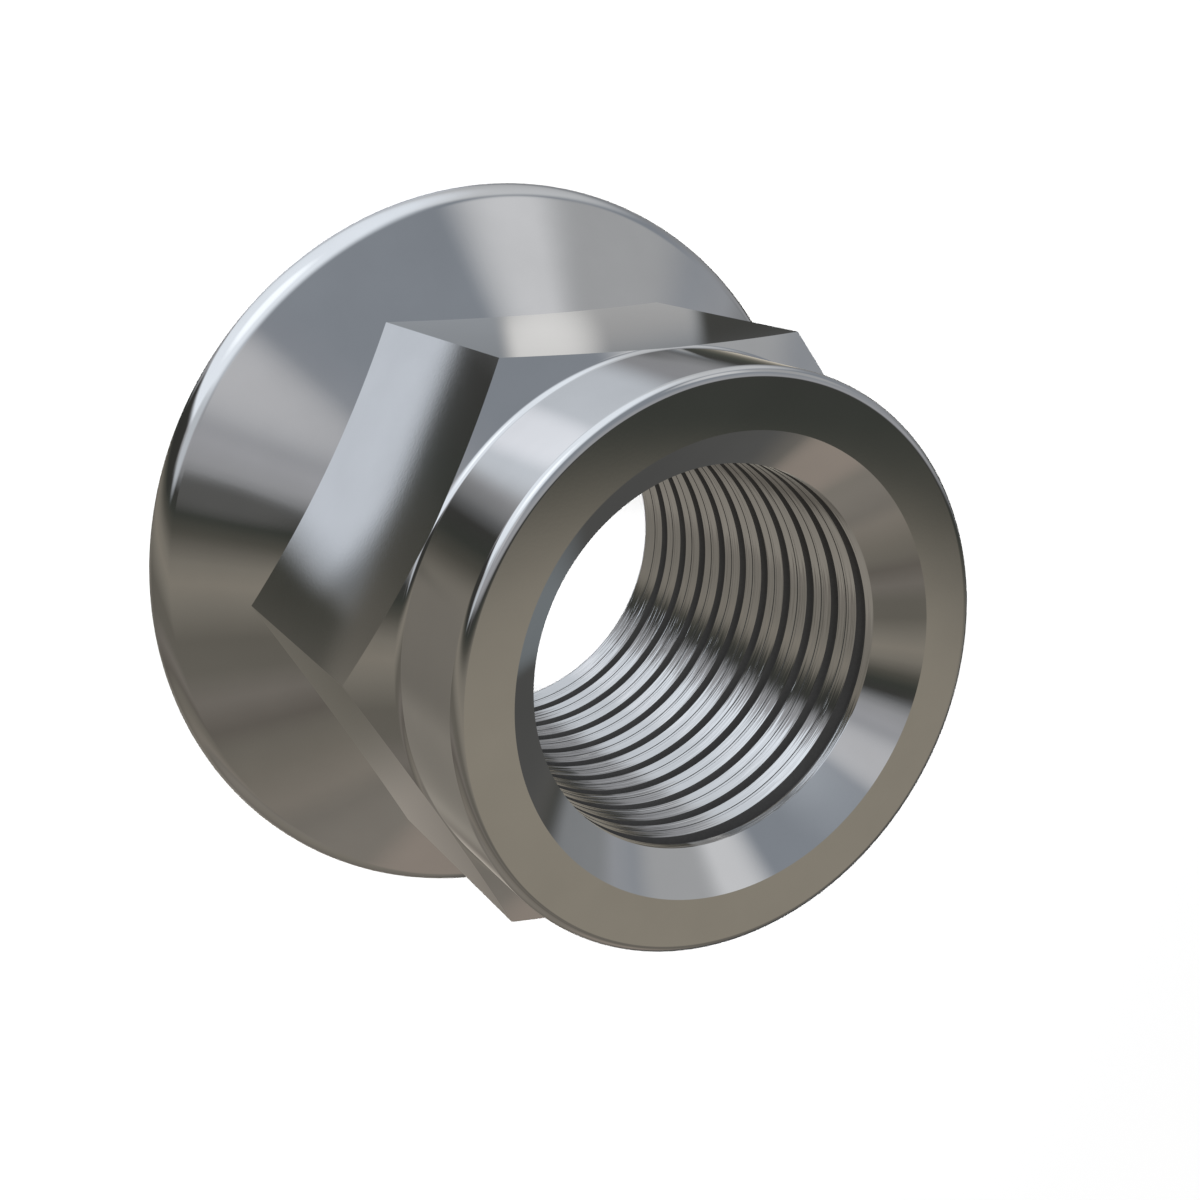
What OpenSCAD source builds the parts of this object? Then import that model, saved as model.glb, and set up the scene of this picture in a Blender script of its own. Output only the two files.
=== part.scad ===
// Flanged hex lock nut: one solid steel piece with a conical flange, a hexagon and a round collar.
// It stands on the flange. The origin is the centre of the bearing face and the bore runs along Z.
// The thread is a row of level grooves, one for each turn.

/* [Thread] */
// Nominal diameter of the metric thread
thread_d = 20; // [18:1:22]
// Pitch of the thread
thread_pitch = 2; // [1:0.25:2.5]
// Width of the thread's groove at its mouth
groove_w = 0.6; // [0.3:0.05:0.8]
// Width of the thread's groove at its root
groove_root_w = 0.1; // [0.05:0.05:0.2]
// Depth of the thread's groove
groove_d = 0.5; // [0.2:0.05:0.6]
// How much wider than the thread the 45 degree countersink is at the top face
sink_over = 1.5; // [0.5:0.1:3]
// Width of the broken edge of the bore at the bearing face
bore_break = 0.15; // [0.05:0.05:0.5]

/* [Hexagon] */
// Width across the flats, the spanner size
across_flats = 27; // [26:0.5:30]
// Slope of the cone that bevels the top of the hexagon, in degrees below level
bevel_slope = 30; // [15:1:40]

/* [Collar] */
// How far the side of the round collar stands inside the flats
collar_inset = 0.05; // [0.05:0.05:0.8]
// Height of the collar, from the hexagon's bevel to the top face
collar_h = 5.7; // [4:0.1:8]
// Radius on the top outer edge of the collar
collar_edge_r = 0.45; // [0.2:0.05:1]
// Radius in the corner between the collar and the hexagon's bevel
collar_root_r = 0.4; // [0.2:0.05:0.8]

/* [Flange] */
// Outer diameter of the flange
flange_d = 39.6; // [37:0.1:44]
// Slope of the upper side of the flange, in degrees below level
flange_slope = 30; // [28:1:38]
// Height at which the upper side of the flange would meet its outer diameter
rim_h = 0.7; // [0.3:0.05:0.7]
// Radius that rounds the upper side of the flange over, down to its bearing face
rim_r = 1.5; // [1.25:0.05:2]

/* [Height] */
// Height of the whole nut
total_h = 23; // [20:0.1:26]

/* [Hidden] */
$fn = 96;

// How far a cutter or a blank reaches past what it has to cover
past = 1;
// The thread is cut in a hole drilled a pitch smaller than its nominal diameter
bore_r = (thread_d - thread_pitch) / 2;
sink_r = (thread_d + sink_over) / 2;
// Distance from the axis to a flat and to a corner of the hexagon
flat_r = across_flats / 2;
corner_r = flat_r / cos(30);
collar_r = flat_r - collar_inset;
flange_r = flange_d / 2;
// Height at which the hexagon's bevel would meet the side of the collar
bevel_top = total_h - collar_h;
// Height at which the countersink ends, and those of the thread's first and last grooves
sink_end = total_h - (sink_r - bore_r);
first_groove = sink_end - thread_pitch / 2;
last_groove = bore_break + thread_pitch / 2;

// Distance from a sharp corner to where a radius r touches its two sides,
// for sides that turn through the given angle
function reach(r, turn) = r * tan(turn / 2);

// Height of the upper side of the flange at distance x from the axis
function flange_z(x) = rim_h + (flange_r - x) * tan(flange_slope);

// Height of the hexagon's bevel at distance x from the axis
function bevel_z(x) = bevel_top - (x - collar_r) * tan(bevel_slope);

// The part of a round edge that lies between its two sides and their sharp corner
module round_edge(r, centre, side_a, corner, side_b) {
    intersection() {
        translate(centre) circle(r);
        polygon([centre, side_a, corner, side_b]);
    }
}

// Half outline of the collar, down to the bearing face
module collar_profile() {
    inner = collar_r - collar_edge_r;
    shoulder = total_h - collar_edge_r;
    square([inner, total_h]);
    square([collar_r, shoulder]);
    round_edge(collar_edge_r, [inner, shoulder],
        [collar_r, shoulder], [collar_r, total_h], [inner, total_h]);
}

// Half outline of what fills the corner between the collar and the hexagon's bevel
module collar_root_profile() {
    top = bevel_top + reach(collar_root_r, 90 - bevel_slope);
    centre = [collar_r + collar_root_r, top];
    touch = centre - collar_root_r * [sin(bevel_slope), cos(bevel_slope)];
    difference() {
        polygon([[collar_r, top], centre, touch, [collar_r, bevel_top]]);
        translate(centre) circle(collar_root_r);
    }
}

// Half outline of the round blank that the hexagon is cut from, under its bevel
module hexagon_profile() {
    blank_r = corner_r + past;
    polygon([
        [0, 0],
        [blank_r, 0],
        [blank_r, bevel_z(blank_r)],
        [collar_r, bevel_top],
        [0, bevel_top]
    ]);
}

// Half outline of the flange. Its rim is an arc that touches the cone and ends at the outer
// diameter on the bearing face
module flange_profile() {
    rise = tan(flange_slope);
    drop = rim_r / cos(flange_slope) - rim_h;
    inset = (drop * rise + sqrt(pow(rim_r, 2) * (1 + pow(rise, 2)) - pow(drop, 2)))
        / (1 + pow(rise, 2));
    rim_centre = [flange_r - inset, inset * rise - drop];
    rim_touch = rim_centre + rim_r * [sin(flange_slope), cos(flange_slope)];
    polygon([[0, 0], [rim_touch.x, 0], rim_touch, [0, flange_z(0)]]);
    intersection() {
        translate(rim_centre) circle(rim_r);
        translate([rim_touch.x, 0]) square([flange_r - rim_touch.x, rim_touch.y]);
    }
}

// The hexagon with its bevel and the root of the collar, all inside the six flats
module hexagon() {
    intersection() {
        cylinder(h = total_h, r = corner_r, $fn = 6);
        rotate_extrude() {
            hexagon_profile();
            collar_root_profile();
        }
    }
}

// One turn of the thread's groove, laid level
module groove() {
    rotate_extrude()
        polygon([
            [bore_r - past, -groove_w / 2],
            [bore_r, -groove_w / 2],
            [bore_r + groove_d, -groove_root_w / 2],
            [bore_r + groove_d, groove_root_w / 2],
            [bore_r, groove_w / 2],
            [bore_r - past, groove_w / 2]
        ]);
}

// The drilled hole with its thread, its countersink and its broken lower edge
module bore() {
    translate([0, 0, -past]) cylinder(h = total_h + 2 * past, r = bore_r);
    translate([0, 0, sink_end])
        cylinder(h = total_h - sink_end + past, r1 = bore_r, r2 = sink_r + past);
    translate([0, 0, -past])
        cylinder(h = bore_break + past, r1 = bore_r + bore_break + past, r2 = bore_r);
    for (z = [first_groove : -thread_pitch : last_groove])
        translate([0, 0, z]) groove();
}

module lock_nut() {
    color("slategray")
    difference() {
        union() {
            rotate_extrude() flange_profile();
            hexagon();
            rotate_extrude() collar_profile();
        }
        bore();
    }
}

lock_nut();
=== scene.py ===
import math

import bpy
import numpy as np
from mathutils import Matrix, Vector


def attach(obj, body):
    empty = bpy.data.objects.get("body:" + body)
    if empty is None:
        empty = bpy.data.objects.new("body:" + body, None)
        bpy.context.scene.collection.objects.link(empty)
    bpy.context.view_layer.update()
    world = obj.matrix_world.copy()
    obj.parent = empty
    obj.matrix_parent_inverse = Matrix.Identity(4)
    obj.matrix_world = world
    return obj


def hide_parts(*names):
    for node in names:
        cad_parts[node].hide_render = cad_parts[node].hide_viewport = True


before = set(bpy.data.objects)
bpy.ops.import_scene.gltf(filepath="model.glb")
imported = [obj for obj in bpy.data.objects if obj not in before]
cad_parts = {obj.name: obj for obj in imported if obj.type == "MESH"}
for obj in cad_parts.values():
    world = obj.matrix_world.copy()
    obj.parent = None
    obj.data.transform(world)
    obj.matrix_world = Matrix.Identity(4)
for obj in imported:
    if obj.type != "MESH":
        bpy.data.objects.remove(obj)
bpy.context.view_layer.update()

# Sizes of the nut, in millimetres
MM = 0.001
TOTAL_H = 23.0
FLAT_R = 13.5
COLLAR_R = 13.45
COLLAR_H = 5.7
COLLAR_EDGE = 0.45
COLLAR_ROOT = 0.4
FLANGE_R = 19.8
RIM_H = 0.7
RIM_R = 1.5
SLOPE = math.radians(30)
BORE_R = 9.0
SINK_R = 10.75
BORE_BREAK = 0.15

# The thread: level grooves, one for each turn
PITCH = 2.0
GROOVE_W = 0.6
GROOVE_ROOT_W = 0.1
GROOVE_D = 0.5

# On the crest between two grooves lies a shallow tool mark. Its sides take the grooves' dark
# painted shade and show as fine dark lines
MARK_W = 0.24
MARK_SIDE = 0.05
MARK_D = 0.02

# Under the countersink the thread runs out on one side: there its first crest falls away
RUN_OUT = 0.25
RUN_OUT_AT = math.radians(-50)

# Angles, heights and radii that follow from the sizes
STEEP = math.pi / 2 - SLOPE
BEVEL_TOP = TOTAL_H - COLLAR_H
SINK_Z = TOTAL_H - (SINK_R - BORE_R)
SHOULDER_R = COLLAR_R - COLLAR_EDGE
SHOULDER_Z = TOTAL_H - COLLAR_EDGE
ROOT_Z = BEVEL_TOP + COLLAR_ROOT * math.tan(STEEP / 2)
GROOVE_SIDE = (GROOVE_W - GROOVE_ROOT_W) / 2
FIRST_GROOVE = SINK_Z - PITCH / 2
LAST_GROOVE = BORE_BREAK + PITCH / 2

# Sides of the hexagon, columns around the axis and parts of each round span
FLATS = 6
FLAT_TURN = 2 * math.pi / FLATS
STEPS = 240
ROUND_PARTS = 10
THETA = np.arange(STEPS + 1) * 2 * math.pi / STEPS
# Distance from the axis to the flats at each column
HEX_R = (FLAT_R / np.cos(np.mod(THETA, FLAT_TURN) - FLAT_TURN / 2))[:, None]

# Points are one point when they agree in this many steps to a millimetre
JOIN_STEPS = 1e4
# Far less than any real difference between two radii
HAIR = 1e-9

# Materials of the mesh, by their place in its list
STEEL, GROOVE, CREST = 0, 1, 2


class Build:
    """Collects patches of quads with a normal at each corner, and joins them into one mesh."""

    def __init__(self):
        self.points = []
        self.faces = []
        self.normals = []
        self.kinds = []
        self.count = 0

    def grid(self, points, normals, kind=STEEL):
        """Adds the quads between columns and rows of points, with the normal at each point."""
        cols, rows = points.shape[:2]
        index = self.count + np.arange(cols * rows).reshape(cols, rows)
        for values, store in ((index, self.faces), (normals, self.normals)):
            ring = [values[:-1, :-1], values[1:, :-1], values[1:, 1:], values[:-1, 1:]]
            shape = (-1, 4) + values.shape[2:]
            store.append(np.stack(ring, 2).reshape(shape))
        self.kinds.append(np.full((cols - 1) * (rows - 1), kind))
        self.points.append(points.reshape(-1, 3))
        self.count += cols * rows

    def mesh(self, name):
        """Joins points that share a place, drops what has no area and sets the corner normals."""
        points = np.concatenate(self.points)
        key = np.round(points * JOIN_STEPS).astype(np.int64)
        _, first, same = np.unique(key, axis=0, return_index=True, return_inverse=True)
        points = points[first] * MM
        faces = same.reshape(-1)[np.concatenate(self.faces)]
        rings, kinds, corners = [], [], []
        for face, normal, kind in zip(
            faces.tolist(), np.concatenate(self.normals), np.concatenate(self.kinds)
        ):
            kept = [i for i in range(4) if face[i] != face[i - 1]]
            if len({face[i] for i in kept}) < 3:
                continue
            rings.append([face[i] for i in kept])
            corners.extend(normal[i] for i in kept)
            kinds.append(kind)
        mesh = bpy.data.meshes.new(name)
        mesh.from_pydata(points.tolist(), [], rings)
        mesh.polygons.foreach_set("material_index", kinds)
        mesh.polygons.foreach_set("use_smooth", [True] * len(kinds))
        corners = np.array(corners)
        corners /= np.linalg.norm(corners, axis=1)[:, None]
        mesh.normals_split_custom_set(corners.tolist())
        mesh.update()
        return mesh


def spin(r, z, normal_r, normal_z):
    """Points and normals of a surface around the axis, from radii and heights along its outline."""
    outline = (r, z, normal_r, normal_z)
    r, z, normal_r, normal_z = (
        np.broadcast_to(values, (STEPS + 1, np.shape(values)[-1])) for values in outline
    )
    # The last column lies exactly on the first
    c, s = np.cos(THETA)[:, None], np.sin(THETA)[:, None]
    c[-1], s[-1] = c[0], s[0]
    points = np.stack([r * c, r * s, z], -1)
    return points, np.stack([normal_r * c, normal_r * s, normal_z], -1)


def line(r0, z0, r1, z1):
    """A straight span of an outline, with its normal on the right-hand side.

    A radius may differ from column to column.
    """
    length = np.hypot(z1 - z0, r1 - r0)
    normal_r, normal_z = (z1 - z0) / length, (r0 - r1) / length
    r = np.stack(np.broadcast_arrays(r0, r1), -1)
    return r, [z0, z1], np.stack([normal_r] * 2, -1), np.stack([normal_z] * 2, -1)


def arc(centre_r, centre_z, radius, start, end):
    """A round span of an outline between two angles in degrees."""
    a = np.radians(np.linspace(start, end, ROUND_PARTS + 1))
    return centre_r + radius * np.cos(a), centre_z + radius * np.sin(a), np.cos(a), np.sin(a)


def flange_z(r):
    """Height of the flange's upper side at distance r from the axis."""
    return RIM_H + (FLANGE_R - r) * math.tan(SLOPE)


def add_flange(nut):
    """Bearing face, rim and the cone up to the hexagon.

    The rim is an arc that touches the cone and ends at the outer diameter on the bearing face.
    """
    rise = math.tan(SLOPE)
    drop = RIM_R / math.cos(SLOPE) - RIM_H
    inset = drop * rise + math.sqrt(RIM_R**2 * (1 + rise**2) - drop**2)
    inset /= 1 + rise**2
    centre_r, centre_z = FLANGE_R - inset, inset * rise - drop
    foot = math.degrees(math.asin(-centre_z / RIM_R))
    touch_r = centre_r + RIM_R * math.sin(SLOPE)
    nut.grid(*spin(*line(BORE_R + BORE_BREAK, 0, FLANGE_R, 0)))
    nut.grid(*spin(*arc(centre_r, centre_z, RIM_R, foot, math.degrees(STEEP))))
    r = np.concatenate([np.full_like(HEX_R, touch_r), HEX_R], 1)
    nut.grid(*spin(r, flange_z(r), [math.sin(SLOPE)] * 2, [math.cos(SLOPE)] * 2))


def add_bevel(nut):
    """Bevel of the hexagon and the hollow root of the collar, cut off at the flats.

    Gives back the height of the bevel at the flats in each column.
    """
    centre_r = COLLAR_R + COLLAR_ROOT
    touch_r = centre_r - COLLAR_ROOT * math.sin(SLOPE)
    a = np.linspace(STEEP, 0, ROUND_PARTS + 1)
    hollow_r = centre_r - COLLAR_ROOT * np.cos(a)
    hollow_r[0] = touch_r
    hollow_r = np.broadcast_to(hollow_r, (STEPS + 1, len(a)))
    r = np.minimum(np.concatenate([HEX_R, hollow_r], 1), HEX_R)
    in_root = r < touch_r - HAIR
    across = np.clip((centre_r - r) / COLLAR_ROOT, 0, 1)
    down = np.sqrt(1 - across**2)
    slope_z = BEVEL_TOP - (r - COLLAR_R) * math.tan(SLOPE)
    z = np.where(in_root, ROOT_Z - COLLAR_ROOT * down, slope_z)
    normal_r = np.where(in_root, across, math.sin(SLOPE))
    normal_z = np.where(in_root, down, math.cos(SLOPE))
    nut.grid(*spin(r, z, normal_r, normal_z))
    return z[:, :1]


def add_flats(nut, top_z):
    """The six flats, from the flange up to the bevel at the given heights."""
    z = np.concatenate([flange_z(HEX_R), top_z], 1)
    points, _ = spin(np.repeat(HEX_R, 2, 1), z, [1, 1], [0, 0])
    per_flat = STEPS // FLATS
    for flat in range(FLATS):
        middle = (flat + 0.5) * FLAT_TURN
        first = flat * per_flat
        span = points[first : first + per_flat + 1]
        outwards = [math.cos(middle), math.sin(middle), 0.0]
        nut.grid(span, np.broadcast_to(outwards, span.shape))


def add_collar(nut):
    """Side, rounded edge and top face of the collar."""
    nut.grid(*spin(*line(COLLAR_R, ROOT_Z, COLLAR_R, SHOULDER_Z)))
    nut.grid(*spin(*arc(SHOULDER_R, SHOULDER_Z, COLLAR_EDGE, 0, 90)))
    nut.grid(*spin(*line(SHOULDER_R, TOTAL_H, SINK_R, TOTAL_H)))


def run_out_r():
    """Radius at which the first crest ends, in each column."""
    fall = RUN_OUT * np.clip(np.cos(THETA - RUN_OUT_AT), 0, 1) ** 2
    fall[-1] = fall[0]
    return BORE_R + fall


def notch(z, width, side, depth, floor_kind, upper_r=BORE_R):
    """Outline corners of a cut in the wall of the hole, with the material up to each."""
    return [
        (upper_r, z + width / 2, CREST),
        (BORE_R + depth, z + width / 2 - side, GROOVE),
        (BORE_R + depth, z - width / 2 + side, floor_kind),
        (BORE_R, z - width / 2, GROOVE),
    ]


def add_hole(nut):
    """Countersink, thread and broken lower edge, from the top face down."""
    outline = [(SINK_R, TOTAL_H, STEEL), (BORE_R, SINK_Z, STEEL)]
    upper_r = run_out_r()
    for z in np.arange(FIRST_GROOVE, LAST_GROOVE, -PITCH):
        outline += notch(z, GROOVE_W, GROOVE_SIDE, GROOVE_D, GROOVE, upper_r)
        upper_r = BORE_R
        crest = z - PITCH / 2
        if crest > BORE_BREAK + MARK_W:
            outline += notch(crest, MARK_W, MARK_SIDE, MARK_D, CREST)
    outline += [(BORE_R, BORE_BREAK, CREST), (BORE_R + BORE_BREAK, 0, STEEL)]
    for (r0, z0, _), (r1, z1, kind) in zip(outline, outline[1:]):
        nut.grid(*spin(*line(r0, z0, r1, z1)), kind)


def link(name, data):
    """A new object with the given data, in the scene."""
    thing = bpy.data.objects.new(name, data)
    bpy.context.scene.collection.objects.link(thing)
    return thing


def node_material(name):
    """A new material, with its nodes and links."""
    material = bpy.data.materials.new(name)
    material.use_nodes = True
    return material, material.node_tree.nodes, material.node_tree.links


# Base colour of bare steel, and how much of its gloss it keeps at a grazing view
BARE_STEEL = (0.26, 0.26, 0.26)
EDGE_TINT = (0.52, 0.52, 0.52, 1)
# Base colour in the grooves: painted shade, far darker than the bare steel, for the shade that
# falls in these recesses
GROOVE_PAINTED_SHADE = (0.052, 0.051, 0.050)
# Gloss of what isn't metal in a finish
NON_METAL_GLOSS = 0.15

# Noise that makes the colour uneven, over the given middle part of its range
CLOUD_SCALE = 260
CLOUD_DETAIL = 3
CLOUD_RANGE = (0.3, 0.7)

# Noise of the fine grain, and how far it takes the roughness up and down
GRAIN_SCALE = 6000
GRAIN_DETAIL = 2
ROUGH_SPREAD = 0.15
# Where the grain is drawn out into streaks, its scale across the axis and along it
STREAKS = (0.03, 0.03, 1)


def noise(nodes, links, place, scale, detail):
    """A noise that is fixed to the nut."""
    node = nodes.new("ShaderNodeTexNoise")
    node.inputs["Scale"].default_value = scale
    node.inputs["Detail"].default_value = detail
    links.new(place, node.inputs["Vector"])
    return node.outputs["Fac"]


def drawn_out(nodes, links, place):
    """The place on the nut, drawn out so that a noise becomes streaks around the axis."""
    node = nodes.new("ShaderNodeVectorMath")
    node.operation = "MULTIPLY"
    node.inputs[1].default_value = STREAKS
    links.new(place, node.inputs[0])
    return node.outputs["Vector"]


def steel(name, colour, rough, uneven, relief_depth, metal=1.0, streaked=False):
    """Bare turned steel: slightly uneven in colour and gloss, with a very fine grain.

    The grain stands out by its relief's depth in millimetres, and can be drawn out into streaks
    around the axis.
    """
    material, nodes, links = node_material(name)
    shader = nodes["Principled BSDF"]
    shader.inputs["Metallic"].default_value = metal
    shader.inputs["Specular IOR Level"].default_value = NON_METAL_GLOSS
    shader.inputs["Specular Tint"].default_value = EDGE_TINT
    place = nodes.new("ShaderNodeTexCoord").outputs["Object"]

    tone = nodes.new("ShaderNodeValToRGB")
    for element, at, change in zip(tone.color_ramp.elements, CLOUD_RANGE, (-uneven, uneven)):
        element.position = at
        element.color = (*(c * (1 + change) for c in colour), 1)
    links.new(noise(nodes, links, place, CLOUD_SCALE, CLOUD_DETAIL), tone.inputs["Fac"])
    links.new(tone.outputs["Color"], shader.inputs["Base Color"])

    if streaked:
        place = drawn_out(nodes, links, place)
    grain = noise(nodes, links, place, GRAIN_SCALE, GRAIN_DETAIL)
    spread = nodes.new("ShaderNodeMapRange")
    spread.inputs["To Min"].default_value = rough * (1 - ROUGH_SPREAD)
    spread.inputs["To Max"].default_value = rough * (1 + ROUGH_SPREAD)
    links.new(grain, spread.inputs["Value"])
    links.new(spread.outputs["Result"], shader.inputs["Roughness"])

    relief = nodes.new("ShaderNodeBump")
    relief.inputs["Strength"].default_value = 1.0
    relief.inputs["Distance"].default_value = relief_depth * MM
    links.new(grain, relief.inputs["Height"])
    links.new(relief.outputs["Normal"], shader.inputs["Normal"])
    return material


# The nut. Its steel reflects the room alone, and neither the floor nor the nut itself
nut = Build()
add_flange(nut)
add_flats(nut, add_bevel(nut))
add_collar(nut)
add_hole(nut)
body = link("nut", nut.mesh("nut"))
for finish in (
    steel("steel", BARE_STEEL, rough=0.05, uneven=0.03, relief_depth=0.0002),
    # The grooves' steel is rough, and its dark base colour is painted shade
    steel("steel_groove_painted_shade", GROOVE_PAINTED_SHADE, rough=0.65, uneven=0.1, relief_depth=0.0015, metal=0.85),
    steel("steel_crest", BARE_STEEL, rough=0.06, uneven=0.03, relief_depth=0.03, streaked=True),
):
    body.data.materials.append(finish)
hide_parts("lock_nut")
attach(body, "root")
body.visible_glossy = False

# Floor and backdrop, plain and pale. The lamps light them up to one distance from the nut, and
# past another they have their own light, in metres
ROOM_R = 3.0
PALE = 0.93
PLAIN_ROUGH = 0.9
LIT_TO = 0.04
OWN_LIGHT_FROM = 0.12
FLOOR_SIDES = 96
BACKDROP_SEGMENTS = 64
BACKDROP_RINGS = 32


def plain(name):
    """Pale and matt in the light of the lamps, and far out white with its own light."""
    material, nodes, links = node_material(name)
    matt = nodes["Principled BSDF"]
    matt.inputs["Base Color"].default_value = (PALE, PALE, PALE, 1)
    matt.inputs["Roughness"].default_value = PLAIN_ROUGH
    matt.inputs["Specular IOR Level"].default_value = 0.0
    glow = nodes.new("ShaderNodeEmission")
    glow.inputs["Color"].default_value = (1, 1, 1, 1)

    far_out = nodes.new("ShaderNodeVectorMath")
    far_out.operation = "LENGTH"
    links.new(nodes.new("ShaderNodeTexCoord").outputs["Object"], far_out.inputs[0])
    change = nodes.new("ShaderNodeMapRange")
    change.interpolation_type = "SMOOTHSTEP"
    change.inputs["From Min"].default_value = LIT_TO
    change.inputs["From Max"].default_value = OWN_LIGHT_FROM
    links.new(far_out.outputs["Value"], change.inputs["Value"])

    both = nodes.new("ShaderNodeMixShader")
    links.new(change.outputs["Result"], both.inputs["Fac"])
    links.new(matt.outputs["BSDF"], both.inputs[1])
    links.new(glow.outputs["Emission"], both.inputs[2])
    links.new(both.outputs["Shader"], nodes["Material Output"].inputs["Surface"])
    return material


bpy.ops.mesh.primitive_circle_add(radius=ROOM_R, vertices=FLOOR_SIDES, fill_type="NGON")
floor = bpy.context.object
floor.name = "floor"
floor.data.materials.append(plain("floor"))
floor.visible_glossy = False
bpy.ops.mesh.primitive_uv_sphere_add(
    radius=ROOM_R, segments=BACKDROP_SEGMENTS, ring_count=BACKDROP_RINGS
)
backdrop = bpy.context.object
backdrop.name = "backdrop"
backdrop.data.materials.append(plain("backdrop"))
backdrop.visible_glossy = False
backdrop.visible_diffuse = False
backdrop.visible_shadow = False

# The room that the steel reflects has an up, a near and a right side of its own
room_up = Vector((0.135, 0.978, 0.161)).normalized()
room_near = Vector((-0.462, 0.304, 0.833))
room_near = (room_near - room_near.dot(room_up) * room_up).normalized()
room_right = room_up.cross(room_near)

# Colours of the room by the height at which one looks, in degrees above its horizon
LEVELS = [
    (-90, (0.70, 0.64, 0.54)),
    (-66, (0.69, 0.63, 0.55)),
    (-61, (0.60, 0.55, 0.48)),
    (-57, (0.69, 0.62, 0.53)),
    (-50, (0.56, 0.51, 0.43)),
    (-45, (0.50, 0.46, 0.39)),
    (-41, (0.41, 0.37, 0.32)),
    (-35, (0.55, 0.50, 0.44)),
    (-29, (0.43, 0.40, 0.34)),
    (-23, (0.42, 0.39, 0.33)),
    (-16, (0.64, 0.59, 0.50)),
    (-12, (0.75, 0.68, 0.57)),
    (-8, (0.64, 0.59, 0.50)),
    (-5, (0.44, 0.41, 0.35)),
    (-2.5, (0.26, 0.25, 0.21)),
    (1, (0.14, 0.15, 0.13)),
    (4.5, (0.14, 0.14, 0.13)),
    (6.5, (0.40, 0.41, 0.42)),
    (8, (0.67, 0.68, 0.70)),
    (11, (1.02, 1.03, 1.07)),
    (15, (1.13, 1.14, 1.20)),
    (19, (1.05, 1.07, 1.13)),
    (30, (0.95, 1.00, 1.08)),
    (38, (0.80, 0.86, 0.96)),
    (43, (0.76, 0.83, 0.93)),
    (90, (0.76, 0.83, 0.93)),
]

# Patches of the room that stand out from its levels, each a colour and the caps that it lies in.
# A cap has a centre, as a turn from the near side to the right and a rise, and two half widths,
# up to which it counts in full and past which it ends, all in degrees
HIGH_WINDOW = ((1.98, 2.00, 2.05), [(78, 59, 0, 17)])
BESIDE_HIGH_WINDOW = ((1.21, 1.23, 1.26), [(102, 46, 6, 18)])
NEAR_SPOT = ((1.60, 1.61, 1.67), [(-10, 28, 1, 11)])
FAR_HIGH_WINDOW = ((1.80, 1.84, 1.90), [(-160, 60, 26, 42)])
LEFT_WINDOW = ((2.75, 2.93, 3.15), [(-82, 44, 34, 58), (0, 90, 70, 75)])
LEFT_WINDOW_CORE = ((3.70, 3.90, 4.10), [(-62, 48, 3, 18)])
LEFT_WINDOW_FOOT = ((1.70, 1.80, 1.92), [(-38, 15, 5, 15)])
RIGHT_SIDE = ((0.76, 0.79, 0.82), [(124, 12, 6, 15)])
FAR_WINDOW = ((2.15, 2.28, 2.45), [(-146, 20, 14, 23), (0, 90, 77, 81)])
LEFT_DARK = ((0.12, 0.12, 0.11), [(-80, 0, 22, 30), (0, -90, 104, 110), (0, 90, 88.5, 91.5)])
FAR_WINDOW_CORE = ((3.00, 3.10, 3.30), [(-140, 18, 2, 8)])

# Softer stretches of the dark line at the horizon
FAR_HORIZON = ((0.24, 0.24, 0.23), [(-170, 6.5, 2, 6)])
NEAR_HORIZON = ((0.32, 0.32, 0.31), [(-10, 5, 0, 4.5)])

# Caps of half the room or so cut the bright strip low on the far side out of its levels
STRIP_LEFT = (146, -28, 89.5, 90.5)
STRIP_SIDE = (146.6, -8, 89.4, 90.6)
STRIP_RIGHT = (-88.2, 0, 89.6, 90.4)
STRIP_END = (-64, 0, 88, 91.5)
STRIP_TOP = (0, -90, 94, 97)
STRIP_FOOT = (0, 90, 93, 96.5)
SPOT_LEFT = (98.6, 0, 89.6, 90.4)
LOW_STRIP = ((0.76, 0.81, 0.87), [STRIP_LEFT, STRIP_RIGHT, STRIP_FOOT, STRIP_TOP])
LOW_DARK = (
    (0.19, 0.19, 0.16),
    [STRIP_LEFT, STRIP_END, (0, 90, 98, 103), (0, -90, 84.6, 85.6)],
)
LOW_WINDOW = (
    (2.25, 2.40, 2.62),
    [STRIP_LEFT, STRIP_SIDE, STRIP_END, (0, 90, 93.2, 95.6), STRIP_TOP],
)
LOW_BRIGHT_STRIP = (
    (0.98, 0.98, 0.98),
    [SPOT_LEFT, STRIP_RIGHT, STRIP_FOOT, (0, -90, 93.6, 95)],
)
LOW_SPOT = ((2.10, 2.08, 2.05), [SPOT_LEFT, (-172.6, 4.0, 0, 2.5)])

# Patches under the horizon
DARK_SIDE = ((0.31, 0.31, 0.30), [(136, -32, 24, 40)])
DARK_SIDE_STREAK = ((0.67, 0.74, 0.78), [(151.5, -24.5, 1.5, 4.5)])
NEAR_GROUND = ((0.84, 0.76, 0.62), [(67, -15, 8, 16)])
LOW_GROUND = ((0.92, 0.79, 0.68), [(82, -66, 4, 13)])
LEFT_GROUND = ((0.90, 0.83, 0.72), [(-138, -43, 13, 23)])
LEFT_SIDE = ((0.66, 0.61, 0.53), [(-118, -22, 8, 18)])
FAR_GROUND = ((0.27, 0.25, 0.21), [(-161, -31, 3, 7.5)])

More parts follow.
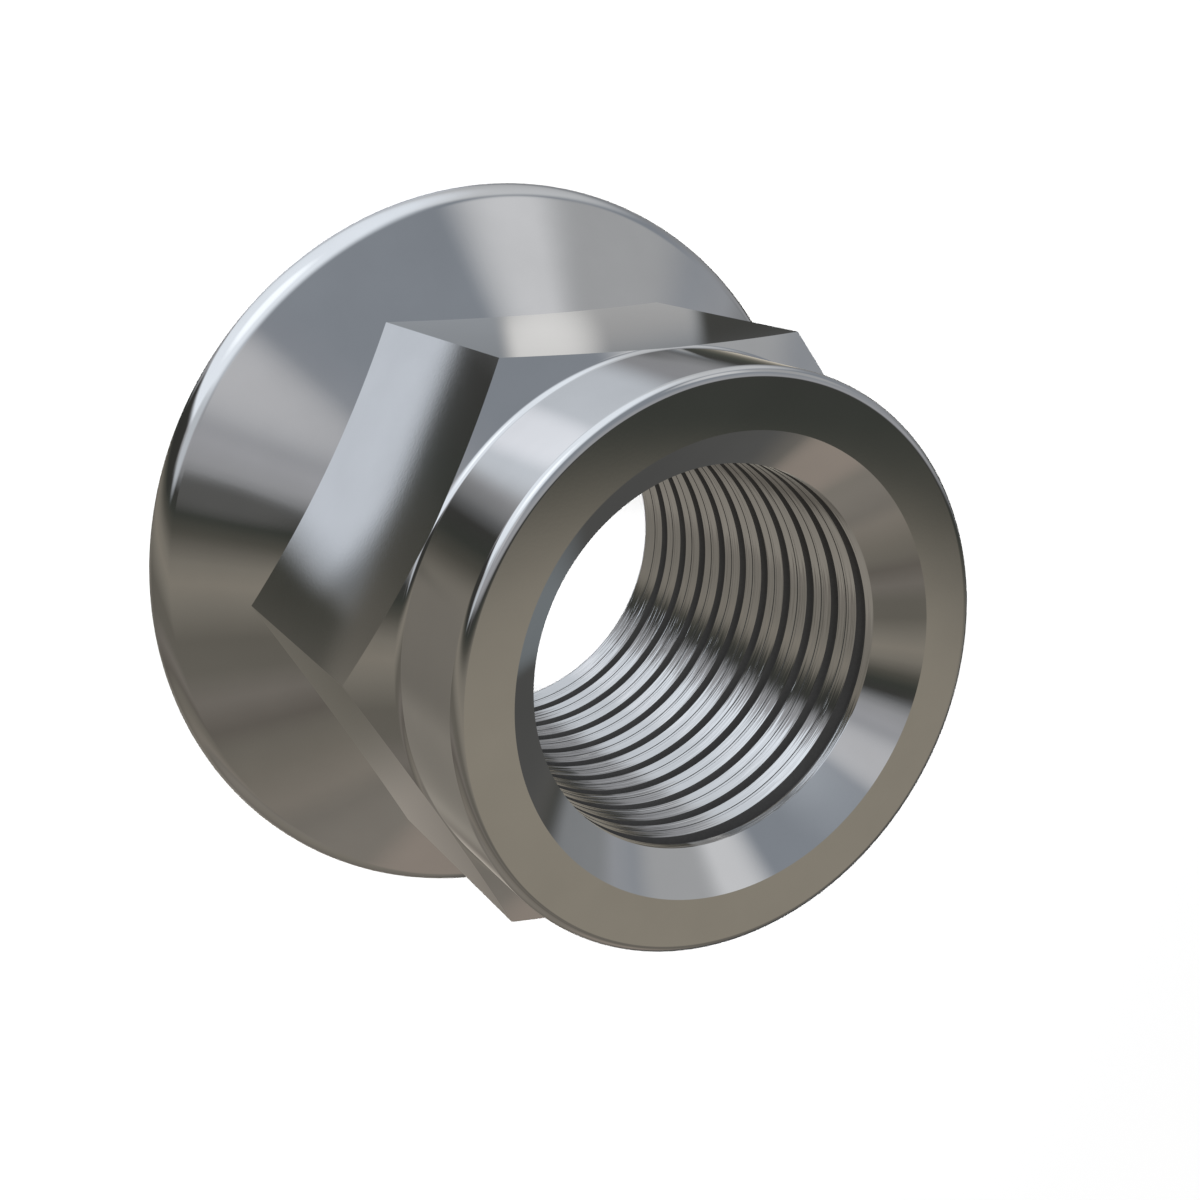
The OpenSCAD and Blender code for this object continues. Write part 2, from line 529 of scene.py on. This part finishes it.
# Each patch lies over those before it
PATCHES = [
    HIGH_WINDOW,
    BESIDE_HIGH_WINDOW,
    NEAR_SPOT,
    FAR_HIGH_WINDOW,
    LEFT_WINDOW,
    LEFT_WINDOW_CORE,
    LEFT_WINDOW_FOOT,
    RIGHT_SIDE,
    FAR_WINDOW,
    LEFT_DARK,
    FAR_WINDOW_CORE,
    FAR_HORIZON,
    NEAR_HORIZON,
    LOW_STRIP,
    LOW_DARK,
    LOW_WINDOW,
    LOW_BRIGHT_STRIP,
    LOW_SPOT,
    DARK_SIDE,
    DARK_SIDE_STREAK,
    NEAR_GROUND,
    LOW_GROUND,
    LEFT_GROUND,
    LEFT_SIDE,
    FAR_GROUND,
]

world = bpy.data.worlds.new("room")
bpy.context.scene.world = world
world.use_nodes = True
# The steel alone is lit by the room. The lamps light the floor
world.cycles_visibility.diffuse = False
room_nodes, room_links = world.node_tree.nodes, world.node_tree.links
direction = room_nodes.new("ShaderNodeTexCoord").outputs["Generated"]


def along(axis):
    """How far the direction that is looked in goes along an axis."""
    dot = room_nodes.new("ShaderNodeVectorMath")
    dot.operation = "DOT_PRODUCT"
    dot.inputs[1].default_value = axis
    room_links.new(direction, dot.inputs[0])
    return dot.outputs["Value"]


def towards(turn, rise):
    """A direction in the room, in degrees from its near side to the right and up."""
    turn, rise = math.radians(turn), math.radians(rise)
    level = math.cos(turn) * room_near + math.sin(turn) * room_right
    return math.cos(rise) * level + math.sin(rise) * room_up


def cap(turn, rise, inner, outer):
    """One within `inner` degrees of a direction and nought past `outer`, with a soft edge."""
    edge = room_nodes.new("ShaderNodeMapRange")
    edge.interpolation_type = "SMOOTHSTEP"
    edge.inputs["From Min"].default_value = math.cos(math.radians(outer))
    edge.inputs["From Max"].default_value = math.cos(math.radians(inner))
    room_links.new(along(towards(turn, rise)), edge.inputs["Value"])
    return edge.outputs["Result"]


def levels():
    """The room without its patches."""
    height = room_nodes.new("ShaderNodeMapRange")
    height.inputs["From Min"].default_value = -1
    height.inputs["From Max"].default_value = 1
    room_links.new(along(room_up), height.inputs["Value"])
    colours = room_nodes.new("ShaderNodeValToRGB")
    elements = colours.color_ramp.elements
    while len(elements) < len(LEVELS):
        elements.new(1)
    for element, (rise, colour) in zip(elements, LEVELS):
        element.position = (math.sin(math.radians(rise)) + 1) / 2
        element.color = (*colour, 1)
    room_links.new(height.outputs["Result"], colours.inputs["Fac"])
    return colours.outputs["Color"]


def patched(under, colour, caps):
    """Lays a colour over what is under it, where all the caps overlap."""
    amount = cap(*caps[0])
    for size in caps[1:]:
        both = room_nodes.new("ShaderNodeMath")
        both.operation = "MULTIPLY"
        room_links.new(amount, both.inputs[0])
        room_links.new(cap(*size), both.inputs[1])
        amount = both.outputs["Value"]
    over = room_nodes.new("ShaderNodeMixRGB")
    over.inputs["Color2"].default_value = (*colour, 1)
    room_links.new(amount, over.inputs["Fac"])
    room_links.new(under, over.inputs["Color1"])
    return over.outputs["Color"]


room_colour = levels()
for patch_colour, patch_caps in PATCHES:
    room_colour = patched(room_colour, patch_colour, patch_caps)
room_links.new(room_colour, room_nodes["Background"].inputs["Color"])


def soft_lamp(name, place, size, energy):
    """A round lamp that faces the nut and doesn't show in it, in metres and watts."""
    lamp = bpy.data.lights.new(name, "AREA")
    lamp.shape = "DISK"
    lamp.size = size
    lamp.energy = energy
    holder = link(name, lamp)
    holder.location = place
    holder.rotation_euler = Vector(place).to_track_quat("Z", "Y").to_euler()
    holder.visible_glossy = False


# A key from the camera's side and a broad fill overhead
soft_lamp("key", place=(-0.17, 0.11, 0.72), size=0.3, energy=5.6)
soft_lamp("fill", place=(0.0, 0.0, 0.9), size=1.6, energy=3.1)

# The camera aims at the mouth of the hole, level with the top face, and is turned about its axis
AIM = Vector((-6.76, 4.42, TOTAL_H)) * MM
DISTANCE = 64.85 * MM
AZIMUTH = math.radians(146.67)
HEIGHT_ANGLE = math.radians(56.45)
ROLL = math.radians(118.54)
# Its film and lens in millimetres, and the distances that it sees between, in metres
SENSOR_WIDTH = 36
LENS = 47.42
SEEN_FROM = 0.005
SEEN_TO = 10
level = Vector((math.cos(AZIMUTH), math.sin(AZIMUTH), 0))
look = -(math.cos(HEIGHT_ANGLE) * level + Vector((0, 0, math.sin(HEIGHT_ANGLE))))
level_right = look.cross(Vector((0, 0, 1))).normalized()
camera_right = math.cos(ROLL) * level_right + math.sin(ROLL) * level_right.cross(look)
axes = Matrix((camera_right, camera_right.cross(look), -look)).transposed()
camera = bpy.data.cameras.new("camera")
camera.sensor_width = SENSOR_WIDTH
camera.lens = LENS
camera.clip_start = SEEN_FROM
camera.clip_end = SEEN_TO
eye = link("camera", camera)
eye.matrix_world = Matrix.Translation(AIM - DISTANCE * look) @ axes.to_4x4()
bpy.context.scene.camera = eye
bpy.context.scene.view_settings.view_transform = "Standard"
